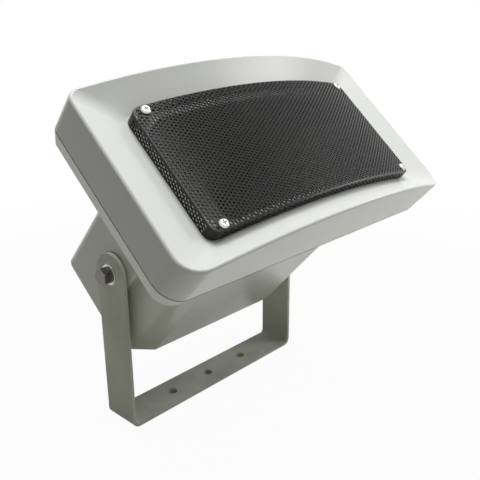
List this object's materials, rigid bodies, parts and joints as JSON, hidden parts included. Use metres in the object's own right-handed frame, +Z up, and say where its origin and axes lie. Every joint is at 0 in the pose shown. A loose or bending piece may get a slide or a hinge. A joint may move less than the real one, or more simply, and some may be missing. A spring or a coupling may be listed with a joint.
{
  "type": "horn speaker",
  "caption": "Boxy horn loudspeaker with a bowed rectangular mouth behind a perforated grille, clamped by two pivot bolts in a U-shaped steel bracket.",
  "frame": {"origin": "centre of the underside of the bracket's base strip, on the ground plane", "axes": "+X across the width, from the side with the left pivot bolt to the right one; -Y the side that the mouth faces; +Z up, square to the bracket's base"},
  "size_m": [0.31, 0.2321, 0.3026],
  "materials": {
    "pale_plastic": "moulded, satin gloss",
    "grey_plastic": "moulded, satin gloss",
    "dark_plastic": "moulded, matt",
    "black_coated_steel": "black powder coat, semi-gloss",
    "painted_steel": "grey paint, satin",
    "stainless": "plain stainless",
    "plated_steel": "zinc plated",
    "brass": "turned",
    "ferrite": "sintered, ground faces",
    "lamination": "stacked laminations, varnished",
    "winding_tape": "yellow winding tape",
    "copper_wire": "enamelled copper",
    "diaphragm_film": "phenolic film",
    "gasket_paper": "fibre gasket",
    "black_rubber": "matt rubber",
    "block_plastic": "moulded nylon",
    "gland_plastic": "grey nylon",
    "red_wire": "insulated wire",
    "black_wire": "insulated wire"
  },
  "bodies": {
    "bracket": {"bracket": "painted_steel"},
    "head": {"front_frame": "pale_plastic", "joint_gasket": "black_rubber", "rear_housing": "grey_plastic", "case_screws": "stainless", "grille": "black_coated_steel", "grille_screws": "stainless", "horn": "dark_plastic", "driver_gasket": "gasket_paper", "driver_yoke": "plated_steel", "magnet": "ferrite", "top_plate": "plated_steel", "phase_plug": "dark_plastic", "voice_coil": "copper_wire", "diaphragm": "diaphragm_film", "back_cover": "dark_plastic", "driver_screws": "stainless", "transformer_core": "lamination", "transformer_coil": "winding_tape", "transformer_strap": "plated_steel", "inner_screws": "stainless", "terminal_block": "block_plastic", "terminal_screws": "brass", "line_leads": "red_wire", "driver_leads": "black_wire", "gland_body": "gland_plastic", "gland_seal": "black_rubber", "gland_nut": "gland_plastic", "gland_locknut": "gland_plastic", "pivot_insert_left": "brass", "pivot_insert_right": "brass", "pivot_bolt_left": "stainless", "pivot_bolt_right": "stainless", "spring_washer_left": "stainless", "spring_washer_right": "stainless", "flat_washer_left": "stainless", "flat_washer_right": "stainless", "rubber_washer_left": "black_rubber", "rubber_washer_right": "black_rubber"}
  },
  "joints": [
    {"name": "head_tilt", "type": "hinge", "parent": "bracket", "child": "head", "pos_m": [0, 0, 0.138], "axis": [1, 0, 0], "range_deg": [-42, 68]}
  ]
}
